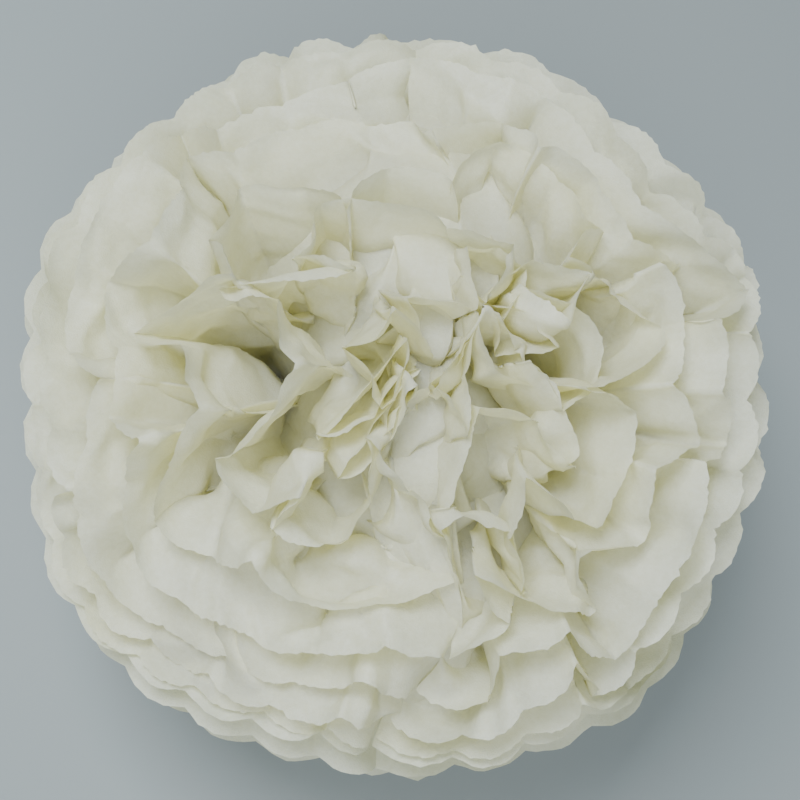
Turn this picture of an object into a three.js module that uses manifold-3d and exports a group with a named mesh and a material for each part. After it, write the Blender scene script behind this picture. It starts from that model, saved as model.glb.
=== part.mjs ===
// A tissue paper pom pom: a stack of tissue sheets, folded together like an accordion, tied round
// the middle with a wire and fanned out into a ball. Each sheet is one piece of paper. Its two ends
// fan out on the two sides of the tie, half a circle each, so that every sheet makes a full rosette.
// The upper sheets are pulled up and the lower ones down, and the underside is pressed flat where
// the ball lies on a table.
//
// Millimetres, +Z up. The origin is on the table, under the tie. The folds run along X at the tie.
import * as THREE from "three";
import { mergeVertices } from "three/addons/utils/BufferGeometryUtils.js";
import Module from "manifold-3d";

// ---- driving dimensions ----
const SHEET_LENGTH = 350; // from cut end to cut end, through the tie
const SHEET_WIDTH = 500; // across the folds
const PANELS = 17; // strips between the accordion folds
const UPPER_SHEETS = 9;
const LOWER_SHEETS = 7;
const PAPER = 0.3; // modelled thickness of a sheet
const SCALLOP_SHARE = 0.25; // how far the round cut of a panel's end stands out, per panel width

const TIE_HEIGHT = 127.5; // middle of the tie above the table
const TOP_RISE = 135; // from the tie to the highest petal tips
const FLOOR_DEPTH = 142; // where the lowest petal tips would reach, just past the table
const UPPER_LEAN = [4, 85]; // degrees above the horizontal, of the lowest and highest upper sheet
const LOWER_LEAN = [-7, -86]; // the same for the lower sheets, from the middle down
const CUP = 10; // degrees by which a steep sheet curves inwards along its length
const PRESS_SPREAD = 0.45; // how much further out a pressed petal tip lies

const STACK_STEP = 1.2; // from one sheet to the next inside the tie
const BUNDLE_RADIUS = 9.9; // of the gathered paper inside the tie
const NECK_HALF = 1.7; // half of the slit between a sheet's two fans, where the tie passes through
const SLIT_HALF = 0.5; // and at the rim
const DEEPEST_FOLD = 9; // half the height of a fold, where the paper is free
const CROWDED = 0.45; // half the height of a fold near the axis, per distance from it
const GATHERED = 70; // distance from the tie over which the folds open up

const WIRE_RADIUS = 0.5;
const TIE_GAP = 0.6; // between the gathered paper and the wire
const TWIST_LENGTH = 18; // of the two wire ends, twisted together
const TWIST_PITCH = 5;

// ---- values worked out from them ----
const REACH = SHEET_LENGTH / 2;
const PANEL_WIDTH = SHEET_WIDTH / PANELS;
const FOLD_ANGLE = Math.PI / PANELS; // between two folds of a fan
const SCALLOP = SCALLOP_SHARE * PANEL_WIDTH;
const FOLD_END = REACH - SCALLOP; // where two round cuts meet in a notch on a fold
const ROWS = [0, 0.2, 0.58, 1].map((share) => share * FOLD_END);
const NARROWS_FROM = ROWS[1];
const SCALLOP_POINTS = [0.27, 0.73]; // across a panel, between its two folds
const SHEETS = UPPER_SHEETS + LOWER_SHEETS;

const radians = (degrees) => (degrees * Math.PI) / 180;
const mix = (a, b, t) => a + (b - a) * t;
const smooth = (t) => t * t * (3 - 2 * t);
const clamp = (t) => Math.min(1, Math.max(0, t));

// The lean of each sheet above the horizontal, in degrees, from the lowest sheet up.
function leans() {
  const lower = Array.from({ length: LOWER_SHEETS }, (_, i) =>
    mix(LOWER_LEAN[1], LOWER_LEAN[0], i / (LOWER_SHEETS - 1)),
  );
  const upper = Array.from({ length: UPPER_SHEETS }, (_, i) =>
    mix(UPPER_LEAN[0], UPPER_LEAN[1], i / (UPPER_SHEETS - 1)),
  );
  return [...lower, ...upper];
}

// A cubic that starts at 0 with slope 1 / share, and reaches 1 at 1 with the given slope: it presses
// a ball of radius 1 down to that share of its height, and leaves its middle as it was.
function pressed(depth, share, endSlope) {
  const a = 1 / share;
  const c = a + endSlope - 2;
  const b = 1 - a - c;
  return ((c * depth + b) * depth + a) * depth;
}

// Where a point of a sheet lies in a section through the axis, after the ball is pressed.
function section(lean, along, start) {
  const cup = radians(CUP) * Math.sin(lean);
  const middle = lean + (cup * along) / REACH - cup;
  const chord = along * (1 - (cup * along) ** 2 / (6 * REACH ** 2));
  const out = chord * Math.cos(middle);
  const up = chord * Math.sin(middle);
  const depth = Math.abs(up) / REACH;
  if (up >= 0)
    return {
      out,
      z: TIE_HEIGHT + start + TOP_RISE * pressed(depth, TOP_RISE / REACH, 0.3),
    };
  const fall = FLOOR_DEPTH * pressed(depth, FLOOR_DEPTH / REACH, 0);
  return {
    out: out * (1 + PRESS_SPREAD * depth * depth),
    z: TIE_HEIGHT + start * (1 - depth) - fall,
  };
}

// The direction across the paper there, in the same section.
function across(lean, along, start) {
  const step = 1;
  const a = section(lean, Math.max(0, along - step), start);
  const b = section(lean, along + step, start);
  const length = Math.hypot(b.out - a.out, b.z - a.z);
  return { out: -(b.z - a.z) / length, z: (b.out - a.out) / length };
}

// Half the height of the folds at a distance from the axis, from the width of a panel.
function foldHeight(out, along) {
  const chord = out * FOLD_ANGLE;
  const free = Math.sqrt(Math.max(0, PANEL_WIDTH ** 2 - chord ** 2)) / 2;
  const deepest = Math.min(free, DEEPEST_FOLD, CROWDED * out);
  return deepest * smooth(clamp(along / GATHERED));
}

// Half the slit between the two fans, which narrows outside the tie and its twisted ends.
function slitHalf(along) {
  const narrowed = clamp((along - NARROWS_FROM) / (FOLD_END - NARROWS_FROM));
  return mix(NECK_HALF, SLIT_HALF, narrowed);
}

// One corner of a sheet, as its upper and lower point. side is +1 or -1 for the fan towards +X or -X,
// and column counts the folds across the sheet, with parts of a column between two folds.
function corner(sheet, side, along, column) {
  const share = column / PANELS;
  if (along === 0) {
    const y = (2 * share - 1) * sheet.neck;
    const z = TIE_HEIGHT + sheet.start;
    return [PAPER / 2, -PAPER / 2].map(
      (half) => new THREE.Vector3(side * NECK_HALF, y, z + half),
    );
  }
  const at = section(sheet.lean, along, sheet.start);
  const n = across(sheet.lean, along, sheet.start);
  const onFold = Math.floor(column);
  const sign = (fold) => (fold % 2 ? -1 : 1);
  const bend = mix(sign(onFold), sign(onFold + 1), column - onFold);
  const lift = bend * foldHeight(at.out, Math.min(along, FOLD_END));
  const azimuth = (share - 0.5) * Math.PI;
  return [PAPER / 2, -PAPER / 2].map((half) => {
    const out = at.out + n.out * (lift + half);
    const z = at.z + n.z * (lift + half);
    return new THREE.Vector3(
      side * (slitHalf(along) + out * Math.cos(azimuth)),
      out * Math.sin(azimuth),
      Math.max(z, PAPER / 2 + half), // the table presses the lowest tips flat
    );
  });
}

// A sheet as a closed solid: two skins over the folded sheet, and a strip along its cut edges.
function sheetGeometry(sheet) {
  const points = []; // upper and lower point of each corner in turn
  const add = (side, along, column) =>
    points.push(...corner(sheet, side, along, column)) / 2 - 1;
  const columns = Array.from({ length: PANELS + 1 }, (_, c) => c);
  const halves = [-1, 1].map((side) =>
    ROWS.map((along) => columns.map((c) => add(side, along, c))),
  );
  const rows = [...halves[0].reverse(), ...halves[1]];
  const tips = [-1, 1].map((side) =>
    columns.slice(0, PANELS).map((c) =>
      SCALLOP_POINTS.map((share) => {
        const height = Math.sqrt(1 - (2 * share - 1) ** 2);
        return add(side, FOLD_END + SCALLOP * height, c + share);
      }),
    ),
  );

  // A panel bends along the diagonal that starts on the tie's side, at the fold further from X.
  const faces = [];
  const quad = (a, b, c, d) => faces.push([a, b, c], [a, c, d]);
  for (let r = 0; r + 1 < rows.length; r++)
    for (let c = 0; c < PANELS; c++) {
      const [a, d] = [rows[r][c], rows[r][c + 1]];
      const [b, e] = [rows[r + 1][c], rows[r + 1][c + 1]];
      if (r >= ROWS.length === c < PANELS / 2) quad(a, b, e, d);
      else quad(b, e, d, a);
    }
  const [first, last] = [rows[0], rows[rows.length - 1]];
  for (let c = 0; c < PANELS; c++) {
    quad(first[c], first[c + 1], tips[0][c][1], tips[0][c][0]);
    quad(last[c + 1], last[c], tips[1][c][0], tips[1][c][1]);
  }

  // The cut edge, once round the sheet.
  const edge = [
    ...rows.map((row) => row[0]),
    ...columns.slice(0, PANELS).flatMap((c) => [...tips[1][c], last[c + 1]]),
    ...rows
      .slice(0, -1)
      .reverse()
      .map((row) => row[PANELS]),
    ...columns
      .slice(0, PANELS)
      .reverse()
      .flatMap((c) => [tips[0][c][1], tips[0][c][0], first[c]])
      .slice(0, -1),
  ];
  const upper = (i) => 2 * i;
  const lower = (i) => 2 * i + 1;
  const index = faces.flatMap(([a, b, c]) => [
    ...[a, b, c].map(upper),
    ...[a, c, b].map(lower),
  ]);
  edge.forEach((a, i) => {
    const b = edge[(i + 1) % edge.length];
    index.push(lower(a), lower(b), upper(b), lower(a), upper(b), upper(a));
  });
  const geometry = new THREE.BufferGeometry().setFromPoints(points);
  geometry.setIndex(index);
  return geometry;
}

// ---- the wire tie: a ring round the gathered paper, and its two ends twisted together ----
const wasm = await Module();
wasm.setup();

function solid(geometry) {
  geometry.deleteAttribute("normal");
  geometry.deleteAttribute("uv");
  const merged = mergeVertices(geometry, 1e-4);
  return new wasm.Manifold(
    new wasm.Mesh({
      numProp: 3,
      vertProperties: merged.attributes.position.array,
      triVerts: new Uint32Array(merged.index.array),
    }),
  );
}

function fromSolid(made) {
  const mesh = made.getMesh();
  const geometry = new THREE.BufferGeometry();
  geometry.setAttribute(
    "position",
    new THREE.BufferAttribute(mesh.vertProperties, 3),
  );
  geometry.setIndex(new THREE.BufferAttribute(mesh.triVerts, 1));
  return geometry;
}

// The section of the two wire ends, side by side and pressed together.
function twinSection() {
  const apart = 0.8 * WIRE_RADIUS;
  const cut = Math.acos(apart / WIRE_RADIUS);
  const shape = new THREE.Shape();
  shape.absarc(apart, 0, WIRE_RADIUS, cut - Math.PI, Math.PI - cut);
  shape.absarc(-apart, 0, WIRE_RADIUS, cut, 2 * Math.PI - cut);
  return shape;
}

// The two ends, twisted round each other along +Z from the origin.
function twistedEnds() {
  const ends = new THREE.ExtrudeGeometry(twinSection(), {
    depth: TWIST_LENGTH,
    steps: 18,
    curveSegments: 3,
    bevelEnabled: false,
  });
  const at = new THREE.Vector3();
  const corners = ends.attributes.position;
  for (let i = 0; i < corners.count; i++) {
    at.fromBufferAttribute(corners, i);
    at.applyAxisAngle(
      new THREE.Vector3(0, 0, 1),
      (2 * Math.PI * at.z) / TWIST_PITCH,
    );
    corners.setXYZ(i, at.x, at.y, at.z);
  }
  return ends;
}

function wireTie() {
  const ringRadius = BUNDLE_RADIUS + TIE_GAP + WIRE_RADIUS;
  const ring = new THREE.TorusGeometry(ringRadius, WIRE_RADIUS, 6, 24);
  ring.rotateY(Math.PI / 2);
  const ends = twistedEnds().rotateX(-Math.PI / 2).translate(0, ringRadius, 0);
  return fromSolid(solid(ring).add(solid(ends)));
}

// ---- the pom pom ----
const paper = new THREE.MeshStandardMaterial({
  name: "tissue_paper",
  color: 0xf1f1e6,
  roughness: 0.85,
  metalness: 0,
  side: THREE.DoubleSide,
});
const wire = new THREE.MeshStandardMaterial({
  name: "tie_wire",
  color: 0xb9babb,
  roughness: 0.35,
  metalness: 1,
});

const pomPom = new THREE.Group();
pomPom.name = "pom_pom";

leans().forEach((degrees, i) => {
  const start = (i - (SHEETS - 1) / 2) * STACK_STEP;
  const neck = Math.sqrt(BUNDLE_RADIUS ** 2 - start ** 2);
  const sheet = new THREE.Mesh(
    sheetGeometry({ lean: radians(degrees), start, neck }),
    paper,
  );
  sheet.name = `sheet_${String(i + 1).padStart(2, "0")}`;
  pomPom.add(sheet);
});

const tie = new THREE.Mesh(wireTie(), wire);
tie.name = "wire_tie";
tie.position.z = TIE_HEIGHT;
pomPom.add(tie);

export default pomPom;
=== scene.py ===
import math

import bpy
import numpy as np
from mathutils import Matrix, Vector


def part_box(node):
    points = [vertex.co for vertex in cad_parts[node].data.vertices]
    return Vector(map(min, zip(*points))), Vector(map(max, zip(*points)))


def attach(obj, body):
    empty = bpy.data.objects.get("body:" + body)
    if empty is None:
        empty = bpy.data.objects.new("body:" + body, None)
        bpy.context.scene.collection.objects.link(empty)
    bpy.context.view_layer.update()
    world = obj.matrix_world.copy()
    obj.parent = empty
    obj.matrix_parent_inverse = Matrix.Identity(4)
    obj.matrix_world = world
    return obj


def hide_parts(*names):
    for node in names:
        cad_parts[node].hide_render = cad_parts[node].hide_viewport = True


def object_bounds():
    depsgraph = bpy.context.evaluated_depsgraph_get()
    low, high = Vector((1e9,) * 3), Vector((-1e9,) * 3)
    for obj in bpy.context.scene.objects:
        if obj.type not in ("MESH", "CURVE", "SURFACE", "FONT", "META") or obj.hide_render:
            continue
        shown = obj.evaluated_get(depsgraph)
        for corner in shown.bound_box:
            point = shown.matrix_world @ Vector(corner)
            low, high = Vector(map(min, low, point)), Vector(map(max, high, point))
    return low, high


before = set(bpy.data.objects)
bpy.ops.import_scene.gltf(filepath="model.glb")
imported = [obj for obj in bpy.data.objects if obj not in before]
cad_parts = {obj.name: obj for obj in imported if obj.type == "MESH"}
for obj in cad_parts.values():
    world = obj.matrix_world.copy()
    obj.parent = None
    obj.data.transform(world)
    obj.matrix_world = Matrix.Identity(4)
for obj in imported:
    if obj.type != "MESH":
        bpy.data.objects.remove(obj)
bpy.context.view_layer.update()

# A tissue paper pom pom. Sixteen sheets are folded to and fro as one stack, tied round the middle with
# wire, and fanned out to both sides of the tie. The paper is worked out in millimetres on a grid with
# the axes (sheet, side of the tie, row outwards from the tie, column across the sheet, x y z). P is
# always such a grid.

# ---- the flat sheets ----
LENGTH = 350.0
WIDTH = 500.0
PANELS = 17
PANEL = WIDTH / PANELS
SCALLOP = 0.18 * PANEL  # how far the round cut reaches in at each fold
FOLD_END = LENGTH / 2 - SCALLOP
SHEETS = 16  # numbered from 1, the lowest, to 16, the middle of the flower
RIM = 9  # sheets above this one are the petals of the flower; the others are its rim and underside
BOWL = 11  # sheets above this one are the flower's worn, loose heart

# ---- the tie and the stack inside it ----
tie_lo, tie_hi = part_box("wire_tie")
TIE = 500.0 * (tie_lo.z + tie_hi.z)  # the height of its middle, from metres
STACK_STEP = 1.2  # from one sheet to the next
BUNDLE = 9.9  # half the width of the folded stack
NECK_HALF = 1.7  # half the length of the stack inside the wire
CORE = 18.0  # fans that would come closer to the tie's middle than this are eased outwards
CORE_LEAST = 7.0  # and none comes closer than this
OPEN_FROM = 62.0  # the length from the tie at which the panels have their full width

# ---- the room the paper has ----
FLOOR = 0.6
LOWEST = 0.3  # the small creases that are added last may go down to here
CEILING = 284.0
HOLE = 8.0  # the radius of the opening in the middle of the flower, at the top
HOLE_FOOT = 165.0  # the height where that opening starts
HOLE_RISE = 90.0  # and how much further up it has its full radius
NEAR_SIDE = math.radians(-118)  # about the azimuth that faces the camera
AIM_HEIGHT = 0.15  # the height the lamps and the camera look at, in metres

# ---- how the simulation keeps the sheets apart ----
TIGHT = 0.7  # the gap between two sheets at the tie, and between a fan and the curtain
GAP_GROWS = 60.0  # the length over which the gap grows to its full size
IN_SIGHT = 14.0  # sheets further apart than this leave each other alone
MOST_UP = 4.0  # a push grows with the missing gap, up to this much of it
MOST_DOWN = 2.0  # and the sheet below is pushed back by this much at most
FIRMNESS = 0.45  # the share of the missing gap that one push gives

# ---- the simulated grid ----
PER_PANEL = 4  # columns in each panel
ROWS = 24
COLUMNS = PANELS * PER_PANEL + 1
SIDES = (-1.0, 1.0)

across = np.arange(COLUMNS) / PER_PANEL  # each column's place, in panels
within = across - np.minimum(np.floor(across), PANELS - 1)  # and inside its own panel
outwards = (np.arange(ROWS) / (ROWS - 1)) ** 0.9  # each row's share of the way out

rng = np.random.default_rng(7)

# How each sheet runs outwards, in degrees above the horizontal: at the tie, at its bend, at its lip.
BEND = 0.62  # where the bend is, as a share of the way out
LIP_TURN = 0.42  # and over what share after it the sheet turns to its lip's angle
MERIDIANS = {
    16: (76, 83, 78),
    15: (62, 69, 72),
    14: (52, 58, 58),
    13: (44, 50, 42),
    12: (37, 42, 28),
    11: (31, 35, 20),
    10: (24, 26, 12),
    9: (16, 17, 10),
    8: (8, 7, 8),
    7: (-4, -4, 1),
    6: (-15, -13, -6),
    5: (-30, -27, -14),
    4: (-44, -38, -20),
    3: (-58, -48, -24),
    2: (-72, -60, -26),
    1: (-84, -74, -28),
}
# The innermost sheets are drawn a little short and narrow, so that the crowded middle has room.
DRAWN_LENGTH = {16: 0.85, 15: 0.88, 14: 0.91, 13: 0.95, 12: 0.98}
DRAWN_WIDTH = {16: 0.84, 15: 0.86, 14: 0.90, 13: 0.95}
# How many degrees the lips of these sheets are curled outwards on the near side.
NEAR_CURL = {14: 25, 13: 35, 12: 45, 11: 25, 10: 10}

# Across each side of the stack, four folds are still deep (which fold it is, and how far it stands up
# or down); the panels between them have been pulled open into petals.
DEEP_LEFT = ((3, -0.7), (6, 0.9), (10, -0.8), (14, -0.6))
DEEP_RIGHT = ((2, 0.8), (6, -0.8), (9, 0.9), (13, -0.9))
PETAL_ARCH = 0.35
# The three innermost sheets stand in deep loops all the way round, the middle one against the others,
# so that there are hollows between them.
LOOPED = 3
LOOPS_LEFT = (
    *(0.1, -0.7, 0.2, 1.0, 0.2, -0.8, 0.1, 0.9, 0.0),
    *(-0.8, -0.1, 0.9, 0.1, -0.7, 0.3, 1.0, 0.3, 0.1),
)
LOOPS_RIGHT = (
    *(0.1, 0.9, 0.1, -0.9, -0.1, 0.8, 0.0, -0.8, 0.1),
    *(1.0, 0.2, -0.7, 0.1, 0.9, 0.0, -0.9, -0.5, 0.1),
)


def smooth(t):
    """A soft step from 0 at t = 0 to 1 at t = 1."""
    t = np.clip(t, 0, 1)
    return t * t * (3 - 2 * t)


# ---- the folded and fanned sheets that the simulation starts from ----
def cut_length(sheet):
    """Length of the sheet at each row and column: the round cut at the end of the stack scallops it."""
    r = np.random.default_rng(500 + sheet)
    scallop = 1 - (2 * within - 1) ** 2
    worn = sum(r.normal() * np.cos(across * r.uniform(0.5, 3.0) + r.uniform(0, 6.28)) for _ in range(4))
    heart = sheet > BOWL
    flatter = 0.55 if heart else 0.0
    wear = 1.6 if heart else 0.5
    end = FOLD_END + SCALLOP * ((1 - flatter) * scallop + flatter * 0.6) + worn * wear
    return outwards[:, None] * np.minimum(end, LENGTH / 2)


def ring_noise(seed, azimuth, level, waves=(1, 2, 3, 5)):
    """A smooth value round the ball, which changes slowly from one sheet to the next."""
    r = np.random.default_rng(seed)
    total = 0
    for m in waves:
        phase = r.uniform(0, 6.28)
        drift = r.uniform(-0.35, 0.35)
        size = r.uniform(0.5, 1)
        total = total + size * np.cos(m * azimuth + phase + drift * level) / m**0.5
    return total / 1.6


def profile(sheet, azimuth, along):
    """(out, up, slope) of the middle of a sheet, for each column's azimuth and each row's length along."""
    petals = sheet > RIM
    nearness = np.cos(azimuth - NEAR_SIDE)
    vary = ring_noise(11, azimuth, sheet) * 6 - (9 if petals else 3) * nearness
    lip = ring_noise(23, azimuth, sheet * 2.3, (2, 3, 5, 7)) * (34 if petals else 8)
    curl = NEAR_CURL.get(sheet, 0) * np.clip(nearness, 0, 1) ** 2
    a, b, c = MERIDIANS[sheet]
    a, b, c = a + 0.5 * vary, b + vary, c + vary + lip - curl
    t = along / (LENGTH / 2)
    to_bend = a + (b - a) * smooth(t / BEND)
    to_lip = b + (c - b) * smooth((t - BEND) / LIP_TURN)
    angle = np.radians(np.where(t < BEND, to_bend, to_lip))
    step = np.diff(along, axis=0) * DRAWN_LENGTH.get(sheet, 1.0)
    mid = (angle[1:] + angle[:-1]) / 2
    zero = np.zeros((1, along.shape[1]))
    out = np.vstack([zero, np.cumsum(np.cos(mid) * step, 0)])
    up = np.vstack([zero, np.cumsum(np.sin(mid) * step, 0)])
    return out, up, angle


def panel_width(along, sheet):
    """How wide a panel is drawn: gathered at the tie, and wider further out."""
    gathered = BUNDLE * 2 / PANELS
    return gathered + (PANEL * DRAWN_WIDTH.get(sheet, 1.0) - gathered) * smooth(along / OPEN_FROM)


def fill_half_circle(heights, width, radius):
    """How deep the folds go for the panels to fill half a circle: (depth, the angle of each fold)."""
    jump = np.abs(np.diff(heights))

    def turns(depth):
        return width * np.sqrt(np.maximum(1 - (depth * jump) ** 2, 0.02)) / radius

    low = 0.0
    high = 1.4 / jump.max()
    for _ in range(30):
        depth = (low + high) / 2
        if turns(depth).sum() > np.pi:
            low = depth
        else:
            high = depth
    turn = turns(depth)
    turn *= np.pi / turn.sum()
    return depth, np.concatenate([[0], np.cumsum(turn)]) - np.pi / 2


def start_shape(sheet, side, heights):
    """The accordion-folded sheet fanned out on one side of the tie, as rows and columns of points."""
    folds = np.arange(PANELS + 1)
    centres = np.arange(PANELS) * PER_PANEL + PER_PANEL // 2
    in_stack = (sheet - (SHEETS + 1) / 2) * STACK_STEP
    even = (across / PANELS - 0.5) * np.pi
    azimuth = even if side > 0 else np.pi - even
    along = cut_length(sheet)
    out, up, slope = profile(sheet, azimuth[None, :] + 0 * along, along)
    points = np.zeros((ROWS, COLUMNS, 3))
    points[0, :, 0] = side * NECK_HALF
    points[0, :, 1] = (2 * across / PANELS - 1) * np.sqrt(BUNDLE**2 - in_stack**2)
    points[0, :, 2] = TIE + in_stack
    for r in range(1, ROWS):
        width = panel_width(along[r].mean(), sheet)
        depth, edges = fill_half_circle(heights, width, np.maximum(out[r, centres], 9))
        turned = np.interp(across, folds, edges)
        lift = np.interp(across, folds, depth * heights) * width
        o = out[r] - np.sin(slope[r]) * lift
        z = up[r] + np.cos(slope[r]) * lift
        ease = CORE - CORE_LEAST
        eased = CORE_LEAST + ease * np.exp((np.minimum(o, CORE) - CORE) / ease)
        o = np.where(o < CORE, eased, o)
        points[r, :, 0] = side * (0.8 + o * np.cos(turned))
        points[r, :, 1] = o * np.sin(turned)
        points[r, :, 2] = TIE + in_stack * (1 - outwards[r]) + z
    return points


def fold_heights(deep, wander):
    """How high each fold stands over the middle of its sheet, in panel widths."""
    marks = [(0, 0.1)] + list(deep) + [(PANELS, 0.1)]
    height = np.zeros(PANELS + 1)
    for (k0, h0), (k1, h1) in zip(marks[:-1], marks[1:]):
        height[k0], height[k1] = h0, h1
        way = -1 if h0 + h1 > 0.3 else 1
        for k in range(k0 + 1, k1):
            height[k] = way * PETAL_ARCH * (0.35 + np.sin(np.pi * (k - k0) / (k1 - k0))) / 1.35
    return np.clip(height + wander, -1.2, 1.2)


def move_folds(deep):
    """Changes the deep folds for the next sheet: each may move by one panel and stand differently."""
    for j, (k, h) in enumerate(deep):
        low = deep[j - 1][0] + 2 if j else 2
        high = deep[j + 1][0] - 2 if j < len(deep) - 1 else PANELS - 2
        move = int(rng.choice((-1, 0, 0, 1)))
        stand = float(np.clip(h + rng.uniform(-0.2, 0.2), -1, 1))
        deep[j] = (int(np.clip(k + move, low, high)), stand)


def start_all():
    """All the sheets, folded from the innermost downwards, each nearly as the one above it."""
    made = np.zeros((SHEETS, 2, ROWS, COLUMNS, 3))
    wander = np.zeros((2, PANELS + 1))
    deep = [list(DEEP_LEFT), list(DEEP_RIGHT)]
    for i in reversed(range(SHEETS)):
        wander = 0.6 * wander + 0.3 * rng.uniform(-1, 1, (2, PANELS + 1))
        wander[1, [0, -1]] = wander[0, [0, -1]]
        for s in (0, 1):
            move_folds(deep[s])
            if i < SHEETS - LOOPED:
                heights = fold_heights(deep[s], wander[s])
            else:
                turned = -1 if i == SHEETS - 2 else 1
                heights = turned * np.array((LOOPS_LEFT, LOOPS_RIGHT)[s]) + 0.7 * wander[s]
                heights[[0, -1]] = 0.1 + wander[0, [0, -1]]
            made[i, s] = start_shape(i + 1, SIDES[s], heights)
    return made


# ---- finer grids ----
def finer(n, factor):
    """The matrix that fits a smooth curve through n points and reads it factor times as finely."""
    m = np.zeros(((n - 1) * factor + 1, n))
    for k in range(m.shape[0]):
        i = min(k // factor, n - 2)
        t = k / factor - i
        weights = (
            -0.5 * t + t * t - 0.5 * t**3,
            1 - 2.5 * t * t + 1.5 * t**3,
            0.5 * t + 2 * t * t - 1.5 * t**3,
            -0.5 * t * t + 0.5 * t**3,
        )
        for j, v in zip(range(i - 1, i + 3), weights):
            if j < 0:
                m[k, 0] += 2 * v
                m[k, 1] -= v
            elif j >= n:
                m[k, n - 1] += 2 * v
                m[k, n - 2] -= v
            else:
                m[k, j] += v
    return m


def finer_panels(columns, factor):
    """The same across the sheet, but panel by panel, so that the folds stay sharp."""
    per = (columns - 1) // PANELS
    m = np.zeros((PANELS * per * factor + 1, columns))
    for k in range(PANELS):
        fine = slice(k * per * factor, (k + 1) * per * factor + 1)
        m[fine] = 0
        m[fine, k * per : (k + 1) * per + 1] = finer(per + 1, factor)
    return m


def finer_grid(P, factor):
    """The same sheets with factor times as many rows and columns."""
    mr = finer(P.shape[-3], factor)
    mc = finer_panels(P.shape[-2], factor)
    return np.einsum("ar,...rcx,bc->...abx", mr, P, mc, optimize=True)


# ---- the simulation of the paper ----
def flat_sheet(factor):
    """Where each grid point lies on its flat sheet: (outwards from the tie, across the sheet)."""
    mr = finer(ROWS, factor)
    mc = finer_panels(COLUMNS, factor)
    along = np.stack([mr @ cut_length(i + 1) @ mc.T for i in range(SHEETS)])
    flat = np.zeros((SHEETS, 1, *along.shape[1:]))
    for i in range(SHEETS):
        w = panel_width(along[i], i + 1)
        flat[i, 0, :, 1:] = np.cumsum((w[:, 1:] + w[:, :-1]) / 2 / (PER_PANEL * factor), axis=1)
    return along[:, None], flat - flat[..., [flat.shape[-1] // 2]]


def paper_links(P, factor, along, aside, free):
    """Pairs of grid points whose distance the paper keeps.

    Each is (points a, points b, distance, share of a, share of b, stretch, squeeze): how the correction
    is shared, and how much of a stretch or of a squeeze is taken back in one round.
    """
    rows, cols = along.shape[-2:]
    drawn = np.array([DRAWN_LENGTH.get(i + 1, 1.0) for i in range(SHEETS)])[:, None, None, None]
    off_fold = np.ones((1, 1, 1, cols, 1))
    off_fold[:, :, :, :: PER_PANEL * factor] = 0.0
    links = []

    def link(dr, dc, first_row, first_col, row_step, col_step, stretch, squeeze):
        """Links of dr rows and dc columns. The steps keep any two of them from sharing a point."""
        r0 = slice(first_row, rows - dr, row_step)
        r1 = slice(first_row + dr, rows, row_step)
        if dc >= 0:
            c0 = slice(first_col, cols - dc, col_step)
            c1 = slice(first_col + dc, cols, col_step)
        else:
            c0 = slice(first_col - dc, cols, col_step)
            c1 = slice(first_col, cols + dc, col_step)
        dx = aside[:, :, r0, c0] - aside[:, :, r1, c1]
        dy = (along[:, :, r0, c0] - along[:, :, r1, c1]) * drawn
        distance = np.sqrt(dx * dx + dy * dy)[..., None]
        fa, fb = free[:, :, r0, c0], free[:, :, r1, c1]
        share = 1 / np.maximum(fa + fb, 1e-9)
        if (dr, dc) == (0, 2):  # the paper bends freely at a fold, and not inside a panel
            squeeze = squeeze * off_fold[:, :, :, first_col + 1 : cols - 1 : col_step]
        ends = (P[:, :, r0, c0], P[:, :, r1, c1])
        links.append((*ends, distance, fa * share, fb * share, stretch, squeeze))

    # next to each other
    for parity in (0, 1):
        link(0, 1, 0, parity, 1, 2, 0.9, 0.5)
        link(1, 0, parity, 0, 2, 1, 0.9, 0.7)
    # diagonals
    for parity in (0, 1):
        link(1, 1, parity, 0, 2, 1, 0.7, 0.4)
        link(1, -1, parity, 0, 2, 1, 0.7, 0.4)
    # two and four apart, which only resist a squeeze: that is the paper's stiffness
    for phase in range(4):
        link(2, 0, phase, 0, 4, 1, 0.0, 0.3)
        link(0, 2, 0, phase, 1, 4, 0.0, 0.25)
    for phase in range(8):
        link(4, 0, phase, 0, 8, 1, 0.0, 0.25)
    # from fold to fold, which keeps a panel flat
    panel = PER_PANEL * factor
    for phase in (0, 1):
        link(0, panel, 0, phase * panel, 1, 2 * panel, 0.0, 0.5)
    return links


def take_back(links):
    """Moves linked points towards the distance the paper gives them."""
    for a, b, distance, share_a, share_b, stretch, squeeze in links:
        d = b - a
        length = np.sqrt(np.einsum("...i,...i", d, d))[..., None] + 1e-9
        over = length - distance
        d *= np.where(over > 0, stretch, squeeze) * over / length
        a += share_a * d
        b -= share_b * d


def normals(P):
    """Unit normals of the grid, pointing to the upper side of every sheet."""
    dr = np.gradient(P, axis=-3)
    dc = np.gradient(P, axis=-2)
    n = np.cross(dr, dc)
    n[:, 0] *= -1
    return n / (np.linalg.norm(n, axis=-1, keepdims=True) + 1e-9)


def spread(push, times):
    """Shares a push between a point and its neighbours, so that the paper bends and is not dented."""
    for axis in (-3, -2) * times:
        push = 0.4 * push + 0.3 * (np.roll(push, 1, axis) + np.roll(push, -1, axis))
        ends = [slice(None)] * push.ndim
        ends[axis] = slice(0, 1)
        push[tuple(ends)] *= 0.5
        ends[axis] = slice(-1, None)
        push[tuple(ends)] *= 0.8
    return push


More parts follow.
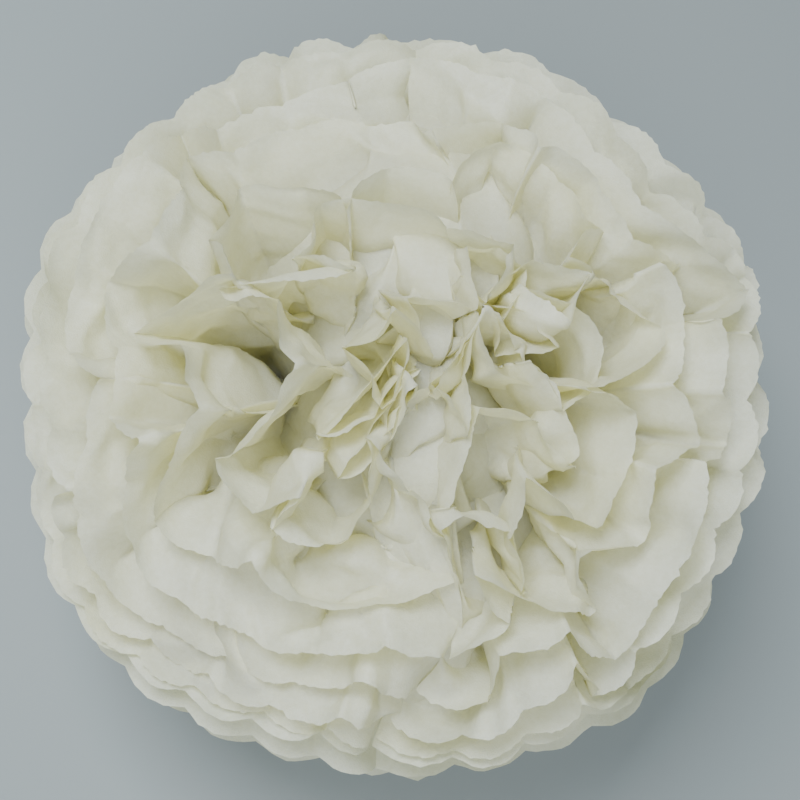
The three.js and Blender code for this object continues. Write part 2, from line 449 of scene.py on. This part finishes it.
def nearest_below(P, factor, reach):
    """For each point, the nearest point of the sheet below, at most reach coarse grid cells away.

    The answer is (its number in that sheet's grid, the distance squared).
    """
    rows, cols = P.shape[2:4]
    below, above = P[:-1], P[1:]
    row, column = np.arange(rows), np.arange(cols)
    best = np.full(above.shape[:-1], 1e9)
    near = np.zeros(above.shape[:-1], np.int64)
    for dr in range(-reach, reach + 1):
        for dc in range(-reach, reach + 1):
            ri = np.clip(row + dr * factor, 0, rows - 1)
            ci = np.clip(column + dc * factor, 0, cols - 1)
            d = above - below[:, :, ri][:, :, :, ci]
            d = np.einsum("...i,...i", d, d)
            closer = d < best
            best[closer] = d[closer]
            near = np.where(closer, (ri[:, None] * cols + ci[None, :])[None, None], near)
    return near, best


def push_apart(P, factor, along, free, gap_far, reach):
    """Pushes each sheet and the one below it apart where they are closer than their gap, or swapped."""
    rows, cols = P.shape[2:4]
    n = normals(P)
    gap = TIGHT + (gap_far - TIGHT) * smooth(along[1:] / GAP_GROWS)
    below, above = P[:-1], P[1:]
    near, best = nearest_below(P, factor, reach)
    stack = np.arange((SHEETS - 1) * 2).reshape(SHEETS - 1, 2, 1, 1) * (rows * cols)
    spot = (stack + near).ravel()
    facing = below.reshape(-1, 3)[spot].reshape(above.shape)
    upwards = n[:-1].reshape(-1, 3)[spot].reshape(above.shape)
    depth = gap - np.einsum("...i,...i", above - facing, upwards)
    close = (depth > 0) & (best < IN_SIGHT**2) & (near >= cols)
    close[:, :, 0] = False
    move = np.where(close, np.minimum(depth, MOST_UP), 0)[..., None] * upwards * FIRMNESS
    P[1:] += spread(move, 2 * factor) * free
    back = [np.bincount(spot, -move[..., k].ravel(), below.size // 3) for k in range(3)]
    back = np.stack(back, -1).reshape(below.shape)
    size = np.sqrt((back * back).sum(-1, keepdims=True)) + 1e-9
    back *= np.minimum(1, MOST_DOWN / size)
    P[:-1] += spread(back, 2 * factor) * free


def curtain(y, z):
    """Where the two fans of the stack meet, as a wavy wall through the tie."""
    away = smooth((np.hypot(y, z - TIE) - 12) / 50)
    return away * 10 * (np.sin(y / 27 + z / 40) + 0.6 * np.sin(y / 12 - z / 25))


def keep_in_place(P):
    """Keeps the paper off the table, below its top and out of the opening, and the fans side by side."""
    P[..., 2] = np.clip(P[..., 2], FLOOR, CEILING)
    out = np.hypot(P[..., 0], P[..., 1]) + 1e-6
    opening = HOLE * smooth((P[..., 2] - HOLE_FOOT) / HOLE_RISE)
    P[..., :2] *= np.maximum(1, opening / out)[..., None]
    middle = curtain(P[..., 1], P[..., 2])
    P[:, 0, 1:, :, 0] = np.minimum(P[:, 0, 1:, :, 0], middle[:, 0, 1:] - TIGHT)
    P[:, 1, 1:, :, 0] = np.maximum(P[:, 1, 1:, :, 0], middle[:, 1, 1:] + TIGHT)
    for c in (0, P.shape[3] - 1):  # the two fans of a sheet are drawn together at their edges
        meet = (P[:, 0, 2:, c] + P[:, 1, 2:, c]) / 2
        P[:, 0, 2:, c] += 0.6 * (meet - P[:, 0, 2:, c])
        P[:, 1, 2:, c] += 0.6 * (meet - P[:, 1, 2:, c])


def wave_noise(P, seed, size, terms, strength):
    """A smooth random push at each point, from a few waves through space that change from sheet to sheet."""
    r = np.random.default_rng(seed)
    out = np.zeros(P.shape)
    level = np.cumsum(r.normal(size=(P.shape[0], terms)), 0) * 0.8
    for t in range(terms):
        k = r.normal(size=3)
        k *= 2 * np.pi / size / np.linalg.norm(k) * r.uniform(0.6, 1.4)
        wave = np.sin(P @ k + level[:, t][:, None, None, None])
        out += wave[..., None] * r.normal(size=3)
    return out / np.sqrt(terms) * strength


def relax(P, factor, rounds, crumple, hold, hold_early, push_every, gap_far, reach):
    """Gives the paper back its own lengths everywhere, and keeps the sheets apart in their order.

    factor is how fine the grid is, crumple a push that fades out over the first half of the rounds, and
    hold how strongly each point is drawn to where it started, with hold_early more of it at first.
    """
    along, aside = flat_sheet(factor)
    home = P.copy()
    free = np.ones((1, 1, *along.shape[-2:], 1))
    free[:, :, 0] = 0  # the row inside the tie stays
    links = paper_links(P, factor, along, aside, free)
    for k in range(rounds):
        early = max(0.0, 1 - k / (0.5 * rounds))
        P += free * (home - P) * (hold + hold_early * early)
        P += free * crumple * early
        take_back(links)
        if k % push_every == push_every - 1:
            push_apart(P, factor, along, free, gap_far, reach)
        keep_in_place(P)
    return P


def close_seams(P, columns=6):
    """Joins the edges of the two fans of each sheet, bending a few columns beside each seam."""
    for edge, inwards in ((0, 1), (-1, -1)):
        apart = (P[:, 1, 3:, edge] - P[:, 0, 3:, edge]) / 2
        for step in range(columns):
            c = edge + inwards * step
            P[:, 0, 3:, c] += apart * (1 - step / columns)
            P[:, 1, 3:, c] -= apart * (1 - step / columns)


# ---- the finished sheets ----
def creased(P, seed, count, height):
    """Adds small straight creases with sharp ridges, and fine nicks along the cut edges."""
    r = np.random.default_rng(seed)
    rows, cols = P.shape[-3:-1]
    u = np.linspace(0, WIDTH, cols)[None, :]
    v = np.linspace(0, LENGTH / 2, rows)[:, None]
    n = normals(P[None])[0]
    panel = u / PANEL
    folds = np.round(panel)
    near_fold = np.maximum(0, 1 - np.abs(panel - folds) * 3.2)
    near_seam = 1 + 1.2 * np.exp(-u / 90)  # the creases are higher beside the first seam
    for side in (0, 1):
        sharp = np.where(folds % 2 > 0, 1, -1) * r.uniform(0.3, 1, PANELS + 1)[folds.astype(int)]
        rise = sharp * 3 * near_fold + np.zeros((rows, cols))
        for _ in range(count):
            cu = r.uniform(0, WIDTH)
            cv = r.uniform(60, LENGTH / 2)
            turn = r.uniform(0, np.pi)
            reach = r.uniform(14, 60)
            wide = r.uniform(4, 12)
            du, dv = u - cu, v - cv
            along = (du * np.cos(turn) + dv * np.sin(turn)) / reach
            aside = np.abs(du * np.sin(turn) - dv * np.cos(turn)) / wide
            ridge = np.maximum(0, 1 - aside)
            rise += r.uniform(-1.4, 1.4) * wide * ridge * np.maximum(0, 1 - along * along)
        P[side] += n[side] * (rise * near_seam * smooth((v - 40) / 40) * height)[..., None]
        edge = P[side, -1] - P[side, -2]
        edge /= np.linalg.norm(edge, axis=-1, keepdims=True) + 1e-9
        P[side, -1] += edge * r.normal(size=(cols, 1)) * 0.35
    P[..., 2] = np.maximum(P[..., 2], LOWEST)
    return P


def sheet_mesh(name, halves):
    """One mesh in metres, from one lip through the tie to the other."""
    grid = np.concatenate([halves[0][::-1], halves[1]], axis=0) / 1000
    rows, cols = grid.shape[:2]
    index = np.arange(rows * cols).reshape(rows, cols)
    quads = np.stack([index[:-1, :-1], index[1:, :-1], index[1:, 1:], index[:-1, 1:]], -1).reshape(-1, 4)
    mesh = bpy.data.meshes.new(name)
    mesh.vertices.add(rows * cols)
    mesh.vertices.foreach_set("co", grid.astype(np.float32).ravel())
    mesh.loops.add(quads.size)
    mesh.loops.foreach_set("vertex_index", quads.ravel().astype(np.int32))
    mesh.polygons.add(len(quads))
    mesh.polygons.foreach_set("loop_start", np.arange(0, quads.size, 4, dtype=np.int32))
    mesh.update(calc_edges=True)
    mesh.polygons.foreach_set("use_smooth", np.ones(len(quads), bool))
    o = bpy.data.objects.new(name, mesh)
    bpy.context.scene.collection.objects.link(o)
    return o


# ---- materials ----
def material(name):
    """A new material and its node tree."""
    m = bpy.data.materials.new(name)
    m.use_nodes = True
    return m, m.node_tree


def noise(tree, place, scale, detail=None, roughness=None):
    """A noise texture at the given place, or at the default one."""
    node = tree.nodes.new("ShaderNodeTexNoise")
    node.inputs["Scale"].default_value = scale
    if detail is not None:
        node.inputs["Detail"].default_value = detail
    if roughness is not None:
        node.inputs["Roughness"].default_value = roughness
    if place is not None:
        tree.links.new(place, node.inputs["Vector"])
    return node.outputs[0]


def two_tones(tree, value, first, second, places=(0.0, 1.0)):
    """A colour that runs from the first tone to the second as the value grows."""
    ramp = tree.nodes.new("ShaderNodeValToRGB")
    for element, colour, place in zip(ramp.color_ramp.elements, (first, second), places):
        element.position = place
        element.color = (*colour, 1)
    tree.links.new(value, ramp.inputs[0])
    return ramp.outputs[0]


def bump(tree, height, strength, distance, below=None):
    """Fine relief of the surface, on top of the relief below it."""
    node = tree.nodes.new("ShaderNodeBump")
    node.inputs["Strength"].default_value = strength
    node.inputs["Distance"].default_value = distance
    tree.links.new(height, node.inputs["Height"])
    if below is not None:
        tree.links.new(below, node.inputs["Normal"])
    return node.outputs[0]


def tissue():
    """White tissue: thin enough for light to come through, with faint fibres and crinkles."""
    m, tree = material("tissue_paper")
    place = tree.nodes.new("ShaderNodeTexCoord").outputs["Object"]
    clouds = noise(tree, place, 420, detail=6, roughness=0.7)
    fibres = noise(tree, place, 1500, detail=2)
    colour = two_tones(tree, clouds, (0.83, 0.83, 0.71), (0.925, 0.935, 0.85), (0.35, 0.62))
    crinkles = tree.nodes.new("ShaderNodeTexVoronoi")
    crinkles.feature = "DISTANCE_TO_EDGE"
    crinkles.inputs["Scale"].default_value = 95
    tree.links.new(place, crinkles.inputs["Vector"])
    relief = bump(tree, crinkles.outputs[0], 0.28, 0.0012)
    relief = bump(tree, fibres, 0.5, 0.0004, below=relief)
    front = tree.nodes["Principled BSDF"]
    front.inputs["Roughness"].default_value = 0.45
    front.inputs["Sheen Weight"].default_value = 0.15
    tree.links.new(colour, front.inputs["Base Color"])
    tree.links.new(relief, front.inputs["Normal"])
    through = tree.nodes.new("ShaderNodeBsdfTranslucent")
    through.inputs["Color"].default_value = (0.93, 0.89, 0.50, 1)
    tree.links.new(relief, through.inputs["Normal"])
    mix = tree.nodes.new("ShaderNodeMixShader")
    mix.inputs[0].default_value = 0.5
    tree.links.new(front.outputs[0], mix.inputs[1])
    tree.links.new(through.outputs[0], mix.inputs[2])
    tree.links.new(mix.outputs[0], tree.nodes["Material Output"].inputs[0])
    return m


def tie_wire():
    """Bare florist's wire, a little dull."""
    m, tree = material("tie_wire")
    steel = tree.nodes["Principled BSDF"]
    steel.inputs["Metallic"].default_value = 1.0
    steel.inputs["Roughness"].default_value = 0.38
    drawn = noise(tree, None, 900)
    grey = two_tones(tree, drawn, (0.42, 0.43, 0.44), (0.62, 0.62, 0.62))
    tree.links.new(grey, steel.inputs["Base Color"])
    return m


def table_top():
    """The plain pale table."""
    m, tree = material("table_top")
    tree.nodes["Principled BSDF"].inputs["Base Color"].default_value = (0.29, 0.325, 0.325, 1)
    tree.nodes["Principled BSDF"].inputs["Roughness"].default_value = 0.6
    return m


# ---- the table, the lights and the camera ----
def add_table():
    """The floor that the ball rests on."""
    bpy.ops.mesh.primitive_plane_add(size=6, location=(0, 0, 0))
    table = bpy.context.object
    table.name = "table"
    table.data.materials.append(table_top())


def add_sky():
    """Soft, slightly blue light from all round."""
    world = bpy.data.worlds.new("World")
    bpy.context.scene.world = world
    world.use_nodes = True
    world.node_tree.nodes["Background"].inputs[0].default_value = (0.82, 0.92, 1, 1)
    world.node_tree.nodes["Background"].inputs[1].default_value = 0.32


def add_light(name, where, size, power):
    """A square lamp that shines at the middle of the ball."""
    lamp = bpy.data.lights.new(name, "AREA")
    lamp.size = size
    lamp.energy = power
    lamp.color = (0.88, 0.945, 1)
    o = bpy.data.objects.new(name, lamp)
    bpy.context.scene.collection.objects.link(o)
    o.location = where
    o.rotation_mode = "QUATERNION"
    o.rotation_quaternion = (Vector((0, 0, AIM_HEIGHT)) - Vector(where)).to_track_quat("-Z", "Y")


def add_camera(aim, elevation, turn, distance):
    """The photograph's view: nearly from above, with the frame's Y axis upright in the picture."""
    camera = bpy.data.cameras.new("camera")
    camera.lens = 50
    camera.sensor_width = 30
    o = bpy.data.objects.new("camera", camera)
    bpy.context.scene.collection.objects.link(o)
    bpy.context.scene.camera = o
    level = math.cos(elevation)
    back = Vector((-math.sin(turn) * level, -math.cos(turn) * level, math.sin(elevation)))
    right = Vector((0, 1, 0)).cross(back).normalized()
    o.location = aim + back * distance
    o.rotation_mode = "QUATERNION"
    o.rotation_quaternion = Matrix((right, back.cross(right), back)).transposed().to_quaternion()
    bpy.context.view_layer.update()


# ---- build it ----
P = start_all()
waves = wave_noise(P, seed=3, size=110, terms=10, strength=0.25)
P = relax(P, 1, 160, waves, hold=0.006, hold_early=0.03, push_every=4, gap_far=4.0, reach=3)
P = finer_grid(P, 2)
waves = wave_noise(P, seed=4, size=40, terms=12, strength=0.03)
rounds = 70
P = relax(P, 2, rounds, waves, hold=0.0, hold_early=0.0, push_every=10, gap_far=3.0, reach=2)
close_seams(P)

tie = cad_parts["wire_tie"]
tie.data.materials.clear()
tie.data.materials.append(tie_wire())

paper = tissue()
for i in range(SHEETS):
    petals = i + 1 > RIM
    halves = finer_grid(P[i], 2) if petals else P[i].copy()
    halves = creased(halves, seed=100 + i, count=90, height=0.3 if petals else 0.12)
    o = sheet_mesh(f"tissue_sheet_{i + 1:02d}", halves)
    o.data.materials.append(paper)
    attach(o, "root")
    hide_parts(f"sheet_{i + 1:02d}")

lo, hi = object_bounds()

add_table()
add_sky()
add_light("key", (-0.35, 0.3, 1.35), 0.5, 21)
add_light("fill", (-0.1, -0.85, 1.2), 1.0, 12)
centre = Vector(((lo.x + hi.x) / 2, (lo.y + hi.y) / 2, AIM_HEIGHT))
add_camera(centre, elevation=math.radians(76), turn=math.radians(30), distance=0.62)
